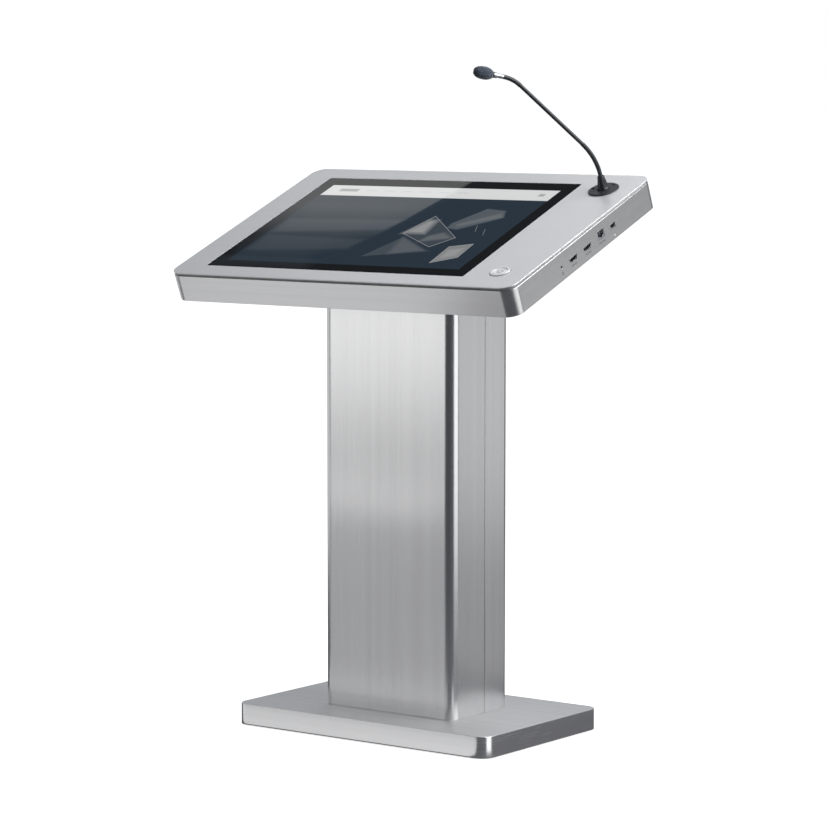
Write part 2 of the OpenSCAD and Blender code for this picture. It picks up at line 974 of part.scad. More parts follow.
module neck_stem() {
    color(slate) after_lower_bend() difference() {
        cylinder(d = stem_dia, h = stem_l);
        translate([0, 0, 10]) cylinder(d = stem_dia - 1.6, h = stem_l - 20);
    }
}

module neck_flex_top() {
    color(slate) after_lower_bend() translate([0, 0, stem_l])
        bend(upper_bend_r, upper_bend - gap_angle(upper_bend_r), flex_dia / 2);
}

module after_upper_bend() {
    after_lower_bend() translate([0, 0, stem_l]) after_bend(upper_bend_r, upper_bend) children();
}

module mic_collar() {
    color(steel) after_upper_bend() {
        disc(flex_dia / 2, 0, tip_l);
        disc(flex_dia / 2 + 1, tip_l, tip_l + collar_l);
    }
}

module mic_capsule() {
    color(black) after_upper_bend() disc(5.5, tip_l + collar_l, tip_l + collar_l + 24);
}

module mic_windscreen() {
    r = windscreen_dia / 2;
    low = tip_l + collar_l + 1;
    color(slate) after_upper_bend() difference() {
        union() {
            translate([0, 0, low + r]) sphere(r);
            disc(r, low + r, low + windscreen_l - r);
            translate([0, 0, low + windscreen_l - r]) sphere(r);
        }
        disc(5.5, 0, tip_l + collar_l + 24);
    }
}

// ---- Cables that stay inside ----

// From the display down to the computer
module display_cable() {
    color(black) in_head() translate([computer_at[0] - 20, computer_at[1] + 30, 0]) {
        translate([0, 0, floor_w + computer_size[2]]) cylinder(d = 5, h = cable_rise);
        translate([0, 0, floor_w + computer_size[2]]) plate(16, 8, 1, 0, 3);
    }
}

// A round cable through a list of points, with a fuller sleeve at each turn
module cable(points, r) {
    for (k = [0 : len(points) - 2]) {
        step = points[k + 1] - points[k];
        translate(points[k])
            rotate([0, acos(step[2] / norm(step)), atan2(step[1], step[0])])
                cylinder(r = r, h = norm(step), $fn = 24);
    }
    for (k = [1 : len(points) - 2]) translate(points[k]) sphere(r + 1, $fn = 24);
}

// A point of the head's own frame, in the kiosk's frame
function from_head(p) = [p[0],
    p[1] * cos(head_tilt) - p[2] * sin(head_tilt) - head_front,
    p[1] * sin(head_tilt) + p[2] * cos(head_tilt) + head_front_z];

// From the inlet up the column, through the head plate and on to the power supply
module mains_cable() {
    drop_y = column_back - 38;
    color(black) cable([[0, column_back - 26, inlet_z], [0, drop_y, inlet_z], [0, drop_y, 760],
        from_head([20, head_plate_v, -head_t - 12]),
        from_head([20, head_plate_v, floor_w + 6]), from_head([40, 150, floor_w + 6]),
        from_head([supply_at[0] - supply_size[0] / 2, 150, floor_w + 6])], 3.5);
}

// From the port board, the microphone's socket and the button to the computer
module signal_cables() {
    side = computer_at[0] + computer_size[0] / 2;
    color(dark_steel) {
        in_head() cable([[board_in + 8, 262, board_top - board_t], [board_in + 8, 262, -48],
            [side, 262, -48]], 2.5);
        in_head() cable([[mic_x, mic_v, -31], [mic_x, mic_v, -46], [side, 290, -46]], 2.5);
        in_head() cable([[button_x - 6, button_v, barrel_low - 8],
            [button_x - 6, button_v, -40], [250, 210, -40], [side, 222, -40]], 2);
    }
}

floor_pads();
ballast_plate();
base_cover();
base_sides();
base_corners();
base_spacers();
column_bolts();
column_frame();
column_front_shell();
column_rear_shell();
shell_screws();
service_door();
door_hinges();
door_hinge_leaves();
door_hinge_pins();
door_lock_barrel();
door_lock_cam();
mains_inlet();
inlet_screws();
head_tray();
tray_bolts();
panel_seal();
top_panel();
glass_bead();
screen_glass();
bonding_layer();
display_module();
display_rails();
panel_nuts();
computer();
power_supply();
electronics_screws();
port_board();
port_board_posts();
video_socket(video_front_v);  // video_socket_front
video_socket(video_rear_v);  // video_socket_rear
network_socket();
usb_socket();
audio_jack();
status_lamp();
button_bezel();
button_nut();
button_cap();
button_spring();
button_switch();
mic_flange();
mic_flange_screws();
mic_socket();
mic_boot();
neck_flex_bottom();
neck_flex_middle();
neck_stem();
neck_flex_top();
mic_collar();
mic_capsule();
mic_windscreen();
display_cable();
mains_cable();
signal_cables();
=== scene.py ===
"""Looks of the touchscreen kiosk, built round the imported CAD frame. Metres, +Z up."""
import math

import bmesh
import bpy
from mathutils import Matrix, Vector, noise


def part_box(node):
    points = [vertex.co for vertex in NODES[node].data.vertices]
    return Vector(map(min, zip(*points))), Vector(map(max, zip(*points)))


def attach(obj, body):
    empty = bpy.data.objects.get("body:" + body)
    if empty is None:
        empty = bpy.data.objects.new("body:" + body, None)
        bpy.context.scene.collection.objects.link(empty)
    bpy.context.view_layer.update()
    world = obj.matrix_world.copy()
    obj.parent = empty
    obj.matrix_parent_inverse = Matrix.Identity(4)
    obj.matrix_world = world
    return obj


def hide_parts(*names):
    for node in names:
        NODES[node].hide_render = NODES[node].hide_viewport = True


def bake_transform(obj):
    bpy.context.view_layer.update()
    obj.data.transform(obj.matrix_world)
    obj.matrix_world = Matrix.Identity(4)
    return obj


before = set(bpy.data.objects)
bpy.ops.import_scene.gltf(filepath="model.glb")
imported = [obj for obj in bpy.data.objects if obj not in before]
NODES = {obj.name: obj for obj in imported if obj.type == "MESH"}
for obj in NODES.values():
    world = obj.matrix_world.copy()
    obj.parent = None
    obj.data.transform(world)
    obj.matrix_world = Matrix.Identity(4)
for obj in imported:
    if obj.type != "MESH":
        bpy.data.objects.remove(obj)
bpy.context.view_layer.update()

# The head's own frame: X to the user's right, Y up the slope, Z square to the top panel
TILT = math.radians(22)
PANEL_FRONT = Vector((0, -0.2505, 0.8375))
HEAD = Matrix.Translation(PANEL_FRONT) @ Matrix.Rotation(TILT, 4, "X")
SIDE_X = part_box("head_tray")[1].x
HEAD_W, HEAD_D, HEAD_T, HEAD_R = 2 * SIDE_X, 0.480, 0.056, 0.025
GLASS_W, GLASS_D, GLASS_T = 0.575, 0.398, 0.004
GLASS_AT = Vector((-0.0315, 0.238, 0))
LIT_LEFT, LIT_RIGHT, LIT_NEAR, LIT_FAR = -0.2884, 0.230, 0.065, 0.405
BUTTON_AT = Vector((0.319, 0.064, 0))
MIC_AT = Vector((0.318, 0.413, 0))

# The microphone's neck, in the plane that it bends in: Z leaves the panel, X is the lean
MIC = HEAD @ Matrix.Translation(MIC_AT) @ Matrix.Rotation(math.radians(-130), 4, "Z")
NECK_START = 0.026
LOWER_R, LOWER_BEND = 0.130, math.radians(32)
STEM_L = 0.165
UPPER_R, UPPER_BEND = 0.070, math.radians(30)
FLEX_R = 0.004


# ---- Camera ----

def make_camera():
    """A long lens at about the microphone's height, off the front to the user's right."""
    azimuth, elevation, distance = math.radians(36.502), math.radians(5.805), 6.18003
    aim_height, aim_left, aim_up = 0.54385, 0.005618, 0.03619
    right = Vector((math.cos(azimuth), math.sin(azimuth), 0))
    back = Vector((math.sin(azimuth) * math.cos(elevation),
                   -math.cos(azimuth) * math.cos(elevation),
                   math.sin(elevation)))
    up = back.cross(right)
    aim = Vector((0, 0, aim_height)) - aim_left * right + aim_up * up
    data = bpy.data.cameras.new("camera")
    data.sensor_width = 36
    data.lens = 146.78
    data.clip_end = 100
    camera = bpy.data.objects.new("camera", data)
    bpy.context.scene.collection.objects.link(camera)
    turn = Matrix((right, up, back)).transposed().to_4x4()
    camera.matrix_world = Matrix.Translation(aim + distance * back) @ turn
    bpy.context.scene.camera = camera
    return camera


CAMERA = make_camera()


# ---- Node helpers ----

class Nodes:
    """A node tree, with short calls for the nodes that the materials and the world use."""

    def __init__(self, tree):
        self.tree = tree

    def node(self, kind, **values):
        made = self.tree.nodes.new("ShaderNode" + kind)
        for key, value in values.items():
            setattr(made, key, value)
        return made

    def put(self, socket, value):
        if isinstance(value, bpy.types.NodeSocket):
            self.tree.links.new(value, socket)
        else:
            socket.default_value = value

    def maths(self, operation, a, b=0.0, clamp=False):
        made = self.node("Math", operation=operation, use_clamp=clamp)
        self.put(made.inputs[0], a)
        self.put(made.inputs[1], b)
        return made.outputs[0]

    def spread(self, value, low, high, start=0.0, end=1.0):
        """Maps start..end onto low..high."""
        made = self.node("MapRange")
        for socket, number in zip(made.inputs, (value, start, end, low, high)):
            self.put(socket, number)
        return made.outputs[0]

    def mix(self, factor, a, b):
        """Mixes two colours: the Mix node's colour sockets are its inputs 6 and 7, and output 2."""
        made = self.node("Mix", data_type="RGBA")
        for socket, value in zip((made.inputs[0], *made.inputs[6:8]), (factor, a, b)):
            self.put(socket, value)
        return made.outputs[2]

    def mix_number(self, factor, a, b):
        """Mixes two numbers, which are the Mix node's inputs 2 and 3."""
        made = self.node("Mix", data_type="FLOAT")
        for socket, value in zip((made.inputs[0], *made.inputs[2:4]), (factor, a, b)):
            self.put(socket, value)
        return made.outputs[0]

    def coords(self, scale=(1, 1, 1), head=False):
        """Object coordinates, turned into the head's frame if asked, then scaled."""
        point = self.node("TexCoord").outputs["Object"]
        if head:
            shifted = self.node("VectorMath", operation="SUBTRACT")
            self.put(shifted.inputs[0], point)
            shifted.inputs[1].default_value = PANEL_FRONT
            turned = self.node("VectorRotate", rotation_type="X_AXIS")
            self.put(turned.inputs["Vector"], shifted.outputs[0])
            turned.inputs["Angle"].default_value = -TILT
            point = turned.outputs[0]
        scaled = self.node("VectorMath", operation="MULTIPLY")
        self.put(scaled.inputs[0], point)
        scaled.inputs[1].default_value = scale
        return scaled.outputs[0]

    def noise(self, vector, scale=1.0, detail=2.0, rough=0.5):
        made = self.node("TexNoise")
        self.put(made.inputs["Vector"], vector)
        made.inputs["Scale"].default_value = scale
        made.inputs["Detail"].default_value = detail
        made.inputs["Roughness"].default_value = rough
        return made.outputs["Fac"]

    def bump(self, height, distance, strength=1.0):
        made = self.node("Bump")
        self.put(made.inputs["Height"], height)
        made.inputs["Distance"].default_value = distance
        made.inputs["Strength"].default_value = strength
        return made.outputs[0]

    def grey(self, value, tint=(1, 1, 1)):
        """A colour of that brightness, with each channel scaled by the tint."""
        made = self.node("CombineColor")
        for socket, part in zip(made.inputs, tint):
            self.put(socket, self.maths("MULTIPLY", value, part))
        return made.outputs[0]


class Shader(Nodes):
    """A new material's node tree."""

    def __init__(self, name):
        self.material = bpy.data.materials.new(name)
        self.material.use_nodes = True
        super().__init__(self.material.node_tree)
        self.bsdf = self.tree.nodes["Principled BSDF"]

    def set(self, **values):
        """Sets sockets of the Principled shader, whose spaces are written as _."""
        for key, value in values.items():
            self.put(self.bsdf.inputs[key.replace("_", " ")], value)
        return self.material


# ---- Materials ----

def brush_lines(look, scale, head):
    """Fine and broad streaks, both drawn out along the brush lines."""
    fine = look.noise(look.coords(scale, head), 1.0, 3.0, 0.6)
    broad = look.noise(look.coords([v * 0.1 for v in scale], head), 1.0, 2.0)
    return fine, broad


def brushed_steel(name, scales, head=False, tone=0.80, rough=0.25, streak=0.05, metal=1.0,
                  level_rough=None):
    """Satin steel. Each scale is small along the brush lines and large across them. A second
    scale, and a roughness with it, are for the level faces."""
    look = Shader(name)
    fine, broad = brush_lines(look, scales[0], head)
    if len(scales) > 1:
        facing = look.node("SeparateXYZ")
        look.put(facing.inputs[0], look.node("NewGeometry").outputs["True Normal"])
        level = look.maths("GREATER_THAN", look.maths("ABSOLUTE", facing.outputs[2]), 0.75)
        level_fine, level_broad = brush_lines(look, scales[1], head)
        fine = look.mix_number(level, fine, level_fine)
        broad = look.mix_number(level, broad, level_broad)
        if level_rough:
            rough = look.mix_number(level, rough, level_rough)
    cloud = look.noise(look.coords(), 5.0)
    streaks = look.maths("ADD", look.spread(fine, -streak, streak),
                         look.spread(broad, -streak, streak))
    shade = look.maths("ADD", streaks, look.spread(cloud, tone - 0.015, tone + 0.015))
    wear = look.maths("ADD", look.spread(fine, -0.05, 0.05), look.spread(cloud, -0.02, 0.02))
    return look.set(Base_Color=look.grey(shade, (1.0, 1.0, 1.004)), Metallic=metal,
                    Roughness=look.maths("ADD", wear, rough), Normal=look.bump(fine, 0.00002))


def blasted_steel(name, tone=0.93, rough=0.3):
    """Bead-blasted steel: a fine even grain, and a soft cloud in its tone."""
    look = Shader(name)
    grain = look.noise(look.coords((1, 1, 1), True), 900.0, 3.0)
    cloud = look.noise(look.coords(), 120.0)
    shade = look.maths("ADD", look.spread(grain, -0.04, 0.04),
                       look.spread(cloud, tone - 0.03, tone + 0.03))
    wear = look.spread(grain, rough - 0.06, rough + 0.08)
    return look.set(Base_Color=look.grey(shade), Metallic=0.3, Roughness=wear,
                    Normal=look.bump(grain, 0.00001))


def plated(name, colour, rough=0.32):
    """Zinc or nickel plate, with a soft mottle."""
    look = Shader(name)
    mottle = look.noise(look.coords(), 180.0, 3.0, 0.6)
    shade = look.spread(mottle, 0.86, 1.1)
    return look.set(Base_Color=look.grey(shade, colour), Metallic=1.0,
                    Roughness=look.spread(mottle, rough - 0.08, rough + 0.08))


def powder_coat(name, colour, rough=0.42, grain=0.00006):
    """Painted metal with a fine orange peel."""
    look = Shader(name)
    peel = look.noise(look.coords(), 900.0, 2.0)
    cloud = look.noise(look.coords(), 14.0)
    return look.set(Base_Color=look.grey(look.spread(cloud, 0.9, 1.12), colour),
                    Roughness=look.spread(peel, rough - 0.06, rough + 0.08),
                    Normal=look.bump(peel, grain))


def moulded(name, colour, rough=0.4, grain=0.00004):
    """Moulded plastic or rubber with a spark-eroded grain."""
    look = Shader(name)
    fine = look.noise(look.coords(), 1600.0, 2.0)
    cloud = look.noise(look.coords(), 40.0)
    return look.set(Base_Color=look.grey(look.spread(cloud, 0.85, 1.15), colour),
                    Roughness=look.spread(fine, rough - 0.08, rough + 0.08),
                    Normal=look.bump(fine, grain))


def circuit_board():
    """Green solder mask with paler tracks under it."""
    look = Shader("board")
    tracks = look.node("TexBrick")
    look.put(tracks.inputs["Vector"], look.coords((1, 1, 1), True))
    tracks.inputs["Scale"].default_value = 160.0
    tracks.inputs["Color1"].default_value = (0.02, 0.11, 0.05, 1)
    tracks.inputs["Color2"].default_value = (0.025, 0.14, 0.06, 1)
    tracks.inputs["Mortar"].default_value = (0.05, 0.22, 0.10, 1)
    fine = look.noise(look.coords(), 700.0)
    return look.set(Base_Color=tracks.outputs["Color"], Roughness=look.spread(fine, 0.22, 0.38),
                    Normal=look.bump(tracks.outputs["Fac"], 0.00003))


def foam():
    """Open-cell foam: strands round pores, with the colour darker deeper in each pore, which is
    painted shade in the pores.
    """
    look = Shader("foam")
    cells = look.node("TexVoronoi")
    look.put(cells.inputs["Vector"], look.coords())
    cells.inputs["Scale"].default_value = 1100.0
    depth = look.spread(cells.outputs["Distance"], 0.0, 1.0, 0.1, 0.8)
    fuzz = look.noise(look.coords(), 300.0, 3.0)
    # The tone falls with the pores' depth: painted shade in the pores. The fuzz over it is random.
    tone = look.maths("ADD", look.spread(depth, 0.55, 1.25), look.spread(fuzz, -0.15, 0.15))
    return look.set(Base_Color=look.grey(tone, (0.044, 0.062, 0.088)), Roughness=0.92,
                    Sheen_Weight=0.35, Sheen_Roughness=0.5, Normal=look.bump(depth, 0.0005, 0.8))


def lamp_lens():
    """A small frosted lens."""
    look = Shader("lamp")
    frost = look.noise(look.coords(), 1500.0)
    return look.set(Base_Color=look.grey(look.spread(frost, 0.5, 0.62), (0.95, 1.0, 1.0)),
                    Roughness=look.spread(frost, 0.12, 0.25), Coat_Weight=0.5,
                    Normal=look.bump(frost, 0.00003))


def clear_plastic(name, tone, rough):
    """A milky bead or bond line."""
    look = Shader(name)
    haze = look.noise(look.coords(), 300.0)
    return look.set(Base_Color=look.grey(look.spread(haze, tone - 0.04, tone + 0.04)),
                    Roughness=look.spread(haze, rough - 0.05, rough + 0.05))


# ---- The screen's picture, drawn in millimetres of the head's frame ----

class Picture:
    """Soft-edged flat shapes laid over one another."""

    EDGE = 0.4

    def __init__(self, shader):
        self.shader = shader
        self.place = shader.coords((1000, 1000, 1000), True)
        self.colour = (0.0025, 0.003, 0.0035, 1)

    def inside(self, corners, edge=EDGE):
        """1 inside a convex outline given anticlockwise, and 0 outside."""
        shader = self.shader
        reach = None
        for (ax, ay), (bx, by) in zip(corners, corners[1:] + corners[:1]):
            length = math.hypot(bx - ax, by - ay)
            in_x, in_y = (ay - by) / length, (bx - ax) / length
            dot = shader.node("VectorMath", operation="DOT_PRODUCT")
            shader.put(dot.inputs[0], self.place)
            dot.inputs[1].default_value = (in_x, in_y, 0)
            depth = shader.maths("SUBTRACT", dot.outputs["Value"], in_x * ax + in_y * ay)
            reach = depth if reach is None else shader.maths("MINIMUM", reach, depth)
        return shader.maths("ADD", shader.maths("DIVIDE", reach, edge), 0.5, clamp=True)

    def lay(self, mask, colour, strength=1.0):
        """Covers the picture with a colour where the mask is 1."""
        if strength != 1.0:
            mask = self.shader.maths("MULTIPLY", mask, strength)
        self.colour = self.shader.mix(mask, self.colour, (*colour, 1))

    def shape(self, corners, colour, strength=1.0, edge=EDGE):
        """A filled shape, with an edge that is soft over that width."""
        self.lay(self.inside(corners, edge), colour, strength)

    def outline(self, corners, width, colour, strength=1.0):
        """Only a line along the edge of the shape."""
        middle = [sum(c[i] for c in corners) / len(corners) for i in (0, 1)]
        size = min(math.hypot(c[0] - middle[0], c[1] - middle[1]) for c in corners)
        shrink = 1 - 1.6 * width / size
        inner = [tuple(m + (c - m) * shrink for c, m in zip(corner, middle)) for corner in corners]
        ring = self.shader.maths("SUBTRACT", self.inside(corners), self.inside(inner), clamp=True)
        self.lay(ring, colour, strength)


def box_corners(left, near, right, far):
    return [(left, near), (right, near), (right, far), (left, far)]


SLATE = (0.014, 0.026, 0.041)
# Colour of the pale slanting wash on the screen's left: a painted reflection
PAINTED_REFLECTION_SLATE = (0.034, 0.046, 0.058)
SLATE_LIGHT = (0.10, 0.115, 0.13)
PALE = (0.24, 0.25, 0.26)
TILE_GREY = (0.22, 0.225, 0.23)
BAR_WHITE = (0.66, 0.665, 0.665)
BAR_GREY = (0.52, 0.53, 0.54)
LINE_GREY = (0.34, 0.35, 0.36)


def draw_ground(picture, left, near, right, far):
    """A dark ground, paler low on the left under a slanting wash that is a painted reflection, with
    two soft bands across it.
    """
    picture.shape(box_corners(left, near, right, far), SLATE)
    # Painted reflection: a pale slanting wash on the left, along the slant of the card's patch that
    # the glass mirrors
    picture.shape([(-290, 66), (-120, 66), (-20, 360), (-290, 360)], PAINTED_REFLECTION_SLATE, 0.7, 90)
    picture.shape([(-280, 190), (-40, 215), (-20, 260), (-280, 250)], SLATE_LIGHT, 0.35, 14)
    picture.shape([(-280, 110), (-60, 130), (-50, 170), (-280, 180)], SLATE_LIGHT, 0.22, 14)


def draw_solids(picture):
    """A long slab, a wedge, a tilted square, a tile and two short lines."""
    picture.shape([(92, 232), (118, 226), (184, 282), (170, 312), (126, 318), (90, 252)],
                  SLATE_LIGHT, 0.75, 5)
    picture.shape([(110, 238), (180, 284), (168, 300), (104, 250)], PALE, 0.30, 10)
    picture.shape([(-10, 101), (112, 134), (26, 188)], SLATE_LIGHT, 0.4, 3)
    picture.shape([(40, 116), (112, 134), (26, 188)], PALE, 0.2, 14)
    square = [(14, 203), (108, 150), (139, 192), (35, 281)]
    picture.shape(square, SLATE_LIGHT, 0.3, 4)
    picture.shape([(14, 205), (60, 205), (52, 262), (34, 262)], (0.45, 0.45, 0.45), 0.55, 16)
    picture.shape([(70, 170), (132, 190), (100, 212), (76, 196)], PALE, 0.35, 10)
    picture.outline(square, 1.0, (0.42, 0.42, 0.42), 0.8)
    tile = [(152, 86), (196, 112), (193, 170), (149, 155)]
    picture.shape(tile, TILE_GREY, 0.9, 1.2)
    picture.shape([(160, 104), (188, 120), (184, 150), (158, 142)], (0.34, 0.34, 0.34), 0.6, 12)
    picture.outline(tile, 0.8, (0.5, 0.5, 0.5), 0.7)
    for x, y in ((150, 246), (176, 232)):
        line = [(x + 11.8, y - 26), (x + 13, y - 26), (x + 1.2, y), (x, y)]
        picture.shape(line, PALE, 0.8, 0.5)


def draw_bar(picture, left, right, far):
    """A pale bar along the far edge, with plain dashes and a block at each end."""
    low = far - 46
    picture.shape(box_corners(left, low, right, far), BAR_WHITE)
    picture.shape(box_corners(left, low, right, low + 1.2), BAR_GREY)
    picture.shape(box_corners(-258, far - 27, -214, far - 15), LINE_GREY, 0.9, 2)
    for step in range(6):
        start = -196 + 42 * step
        picture.shape(box_corners(start, far - 23, start + 26, far - 19), BAR_GREY, 0.6, 1.5)
    picture.shape(box_corners(196, far - 27, 209, far - 16), LINE_GREY, 0.9, 2)


def screen_material():
    """Black-bordered glass over a lit picture of plain shapes and a pale bar."""
    look = Shader("screen")
    picture = Picture(look)
    left, near, right, far = (1000 * v for v in (LIT_LEFT, LIT_NEAR, LIT_RIGHT, LIT_FAR))
    draw_ground(picture, left, near, right, far)
    draw_solids(picture)
    draw_bar(picture, left, right, far)
    fine = look.noise(look.coords(), 260.0)
    return look.set(Base_Color=(0.003, 0.003, 0.0035, 1), Emission_Color=picture.colour,
                    Emission_Strength=1.0, Roughness=look.spread(fine, 0.008, 0.016), IOR=1.05)


# ---- The materials in use ----

STEEL_COLUMN = brushed_steel("column_steel", [(700, 700, 6)])
STEEL_BASE = brushed_steel("base_steel", [(6, 6, 700), (6, 700, 700)], level_rough=0.58)
STEEL_BAND = brushed_steel("band_steel", [(6, 6, 700), (6, 700, 700)], head=True, tone=0.70)
STEEL_PANEL = brushed_steel("panel_steel", [(6, 700, 700)], head=True, tone=0.86, rough=0.38,
                            streak=0.025, metal=0.6)
STEEL_BUTTON = blasted_steel("button_steel")
ZINC = plated("zinc", (0.62, 0.63, 0.64))
NICKEL = plated("socket_shell", (0.55, 0.56, 0.58), 0.28)
BLACK_FRAME = powder_coat("black_frame", (0.05, 0.05, 0.055))
CASE = powder_coat("display_case", (0.28, 0.29, 0.30))
NECK = powder_coat("neck_metal", (0.012, 0.016, 0.021), 0.27, 0.00002)
RUBBER = moulded("rubber", (0.03, 0.03, 0.033), 0.7, 0.00008)
SEAL = moulded("seal", (0.46, 0.465, 0.47), 0.6)
# Dark grey for the thin ring at the button's bezel: a painted shadow in the gap there
PAINTED_SHADOW_RING_GREY = moulded("painted_shadow_ring", (0.10, 0.105, 0.11), 0.5)
BLACK_PLASTIC = moulded("black_plastic", (0.022, 0.023, 0.026), 0.4)
BOOT_RUBBER = moulded("boot_rubber", (0.013, 0.015, 0.018), 0.3, 0.00001)
SWITCH_BODY = moulded("switch_body", (0.045, 0.045, 0.05), 0.45)
INK = moulded("ink", (0.07, 0.075, 0.08), 0.5)
BOARD = circuit_board()
FOAM = foam()
LAMP = lamp_lens()
BEAD = clear_plastic("clear_bead", 0.62, 0.3)
BOND = clear_plastic("clear_bond", 0.3, 0.2)
SCREEN = screen_material()


# ---- CAD nodes that stay: rounded edges and a material ----

def tidy_normals():
    """A modifier tree that drops the imported normals and smooths every face."""
    tree = bpy.data.node_groups.new("tidy_normals", "GeometryNodeTree")
    tree.interface.new_socket("Geometry", in_out="INPUT", socket_type="NodeSocketGeometry")
    tree.interface.new_socket("Geometry", in_out="OUTPUT", socket_type="NodeSocketGeometry")
    start = tree.nodes.new("NodeGroupInput")
    end = tree.nodes.new("NodeGroupOutput")
    drop = tree.nodes.new("GeometryNodeRemoveAttribute")
    drop.inputs["Name"].default_value = "custom_normal"
    faces = tree.nodes.new("GeometryNodeSetShadeSmooth")
    edges = tree.nodes.new("GeometryNodeSetShadeSmooth")
    edges.domain = "EDGE"
    tree.links.new(start.outputs[0], drop.inputs[0])
    tree.links.new(drop.outputs[0], faces.inputs[0])
    tree.links.new(faces.outputs[0], edges.inputs[0])
    tree.links.new(edges.outputs[0], end.inputs[0])
    return tree


TIDY = tidy_normals()


def weigh_normals(piece):
    """Shades the piece by its larger faces, and keeps its sharp edges."""
    shade = piece.modifiers.new("shade", "WEIGHTED_NORMAL")
    shade.weight = 100
    shade.keep_sharp = True


def dress(name, material, edge=0.0002, sheet=False):
    """Gives a CAD node its material, and rounds its edges with modifiers only. The triangles
    of a sheet part's flat faces are merged first, so that its edges take a full radius."""
    piece = NODES[name]
    for slot in piece.material_slots:
        slot.material = material
    if not edge:
        return
    clean = piece.modifiers.new("normals", "NODES")
    clean.node_group = TIDY
    weld = piece.modifiers.new("weld", "WELD")
    weld.merge_threshold = 0.000005
    if sheet:
        flat = piece.modifiers.new("flat", "DECIMATE")
        flat.decimate_type = "DISSOLVE"
        flat.angle_limit = math.radians(0.4)
    bevel = piece.modifiers.new("edges", "BEVEL")
    bevel.width = edge
    bevel.segments = 2
    bevel.limit_method = "ANGLE"
    bevel.angle_limit = math.radians(35)
    bevel.use_clamp_overlap = not sheet
    bevel.miter_outer = "MITER_ARC"
    weigh_normals(piece)


def dress_all():
    """The sheet parts by name with their edge radius, and all others by material."""
    sheets = {"column_front_shell": (STEEL_COLUMN, 0.0009),
              "column_rear_shell": (STEEL_COLUMN, 0.0009),
              "service_door": (STEEL_COLUMN, 0.0005),
              "top_panel": (STEEL_PANEL, 0.0006)}
    for name, (material, edge) in sheets.items():
        dress(name, material, edge, sheet=True)
    groups = {
        ZINC: ["column_bolts", "tray_bolts", "base_spacers", "shell_screws", "door_hinges",
               "door_hinge_leaves", "door_hinge_pins", "door_lock_cam", "inlet_screws",
               "panel_nuts", "electronics_screws", "port_board_posts", "button_nut",
               "display_rails"],
        NICKEL: ["video_socket_front", "video_socket_rear", "usb_socket", "door_lock_barrel",
                 "audio_jack", "network_socket", "mic_collar"],
        BLACK_FRAME: ["column_frame", "ballast_plate", "mic_flange_screws"],
        CASE: ["display_module", "computer", "power_supply"],
        RUBBER: ["floor_pads"],
        SEAL: ["panel_seal"],
        BLACK_PLASTIC: ["mains_inlet", "mic_flange"],
        SWITCH_BODY: ["button_switch", "mic_socket"],
        NECK: ["neck_stem", "mic_capsule"],
        BOARD: ["port_board"],
        LAMP: ["status_lamp"],
        BEAD: ["glass_bead"],
        BOND: ["bonding_layer"],
    }
    for material, names in groups.items():
        for name in names:
            dress(name, material)
    for name in ("display_cable", "mains_cable", "signal_cables"):
        dress(name, BLACK_PLASTIC, edge=0)
    dress("button_spring", ZINC, edge=0)


# ---- Mesh helpers ----

def link_mesh(name, bm, material=None):
    """Makes the mesh an object of the scene."""
    mesh = bpy.data.meshes.new(name)
    bm.to_mesh(mesh)
    bm.free()
    if material:
        mesh.materials.append(material)
    made = bpy.data.objects.new(name, mesh)
    bpy.context.scene.collection.objects.link(made)
    return made


def add_piece(name, bm, material, at=Matrix.Identity(4), smooth=True, body="kiosk", cad=()):
    """Makes the mesh a piece at that place, with the material given. It rides on the body, and
    stands for the CAD nodes."""
    bm.transform(at)
    bmesh.ops.recalc_face_normals(bm, faces=bm.faces)
    piece = link_mesh(name, bm, material)
    if smooth:
        piece.data.shade_smooth()
    else:
        piece.data.shade_flat()
    if body:
        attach(piece, body)
    if cad:
        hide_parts(*cad)
    return piece


def circle(radius, turns=40):
    angles = [2 * math.pi * i / turns for i in range(turns)]
    return [(radius * math.cos(a), radius * math.sin(a)) for a in angles]


def lathe(profile, turns=64):
    """Turns (radius, height) points about Z. A radius of 0 closes the end."""
    bm = bmesh.new()
    rings = []
    for radius, height in profile:
        outline = circle(radius, turns) if radius > 1e-7 else [(0, 0)]
        rings.append([bm.verts.new((x, y, height)) for x, y in outline])
    for low, high in zip(rings, rings[1:]):
        for i in range(turns):
            j = (i + 1) % turns
            corners = (low[i % len(low)], low[j % len(low)],
                       high[j % len(high)], high[i % len(high)])
            bm.faces.new(list(dict.fromkeys(corners)))
    return bm


def skin(bm, rings):
    """Joins rings of equally many points, and closes both ends."""
    count = len(rings[0])
    for one, two in zip(rings, rings[1:]):
        for k in range(count):
            j = (k + 1) % count
            bm.faces.new((one[k], one[j], two[j], two[k]))
    bm.faces.new(rings[0])
    bm.faces.new(rings[-1])


def rounded(profile, radius, steps=4):
    """Rounds all but the end points of an open profile with short curves."""
    out = [profile[0]]
    for before, corner, after in zip(profile, profile[1:], profile[2:]):
        c = Vector(corner)
        a, b = Vector(before) - c, Vector(after) - c
        reach = min(radius, a.length / 2.2, b.length / 2.2)
        start, end = c + a.normalized() * reach, c + b.normalized() * reach
        for i in range(steps + 1):
            t = i / steps
            out.append(tuple((1 - t) ** 2 * start + 2 * t * (1 - t) * c + t ** 2 * end))
    out.append(profile[-1])
    return out


def slab(outline, height, edge=0.0):
    """Extrudes a closed outline from Z 0 to a height, with a small bevel round the top."""
    bm = bmesh.new()
    face = bm.faces.new([bm.verts.new((x, y, 0)) for x, y in outline])
    made = bmesh.ops.extrude_face_region(bm, geom=[face])
    top = [v for v in made["geom"] if isinstance(v, bmesh.types.BMVert)]
    bmesh.ops.translate(bm, verts=top, vec=(0, 0, height))
    if edge:
        rim = [e for e in bm.edges if all(v in top for v in e.verts)]
        bmesh.ops.bevel(bm, geom=rim, offset=edge, segments=3, affect="EDGES", profile=0.6)
    return bm


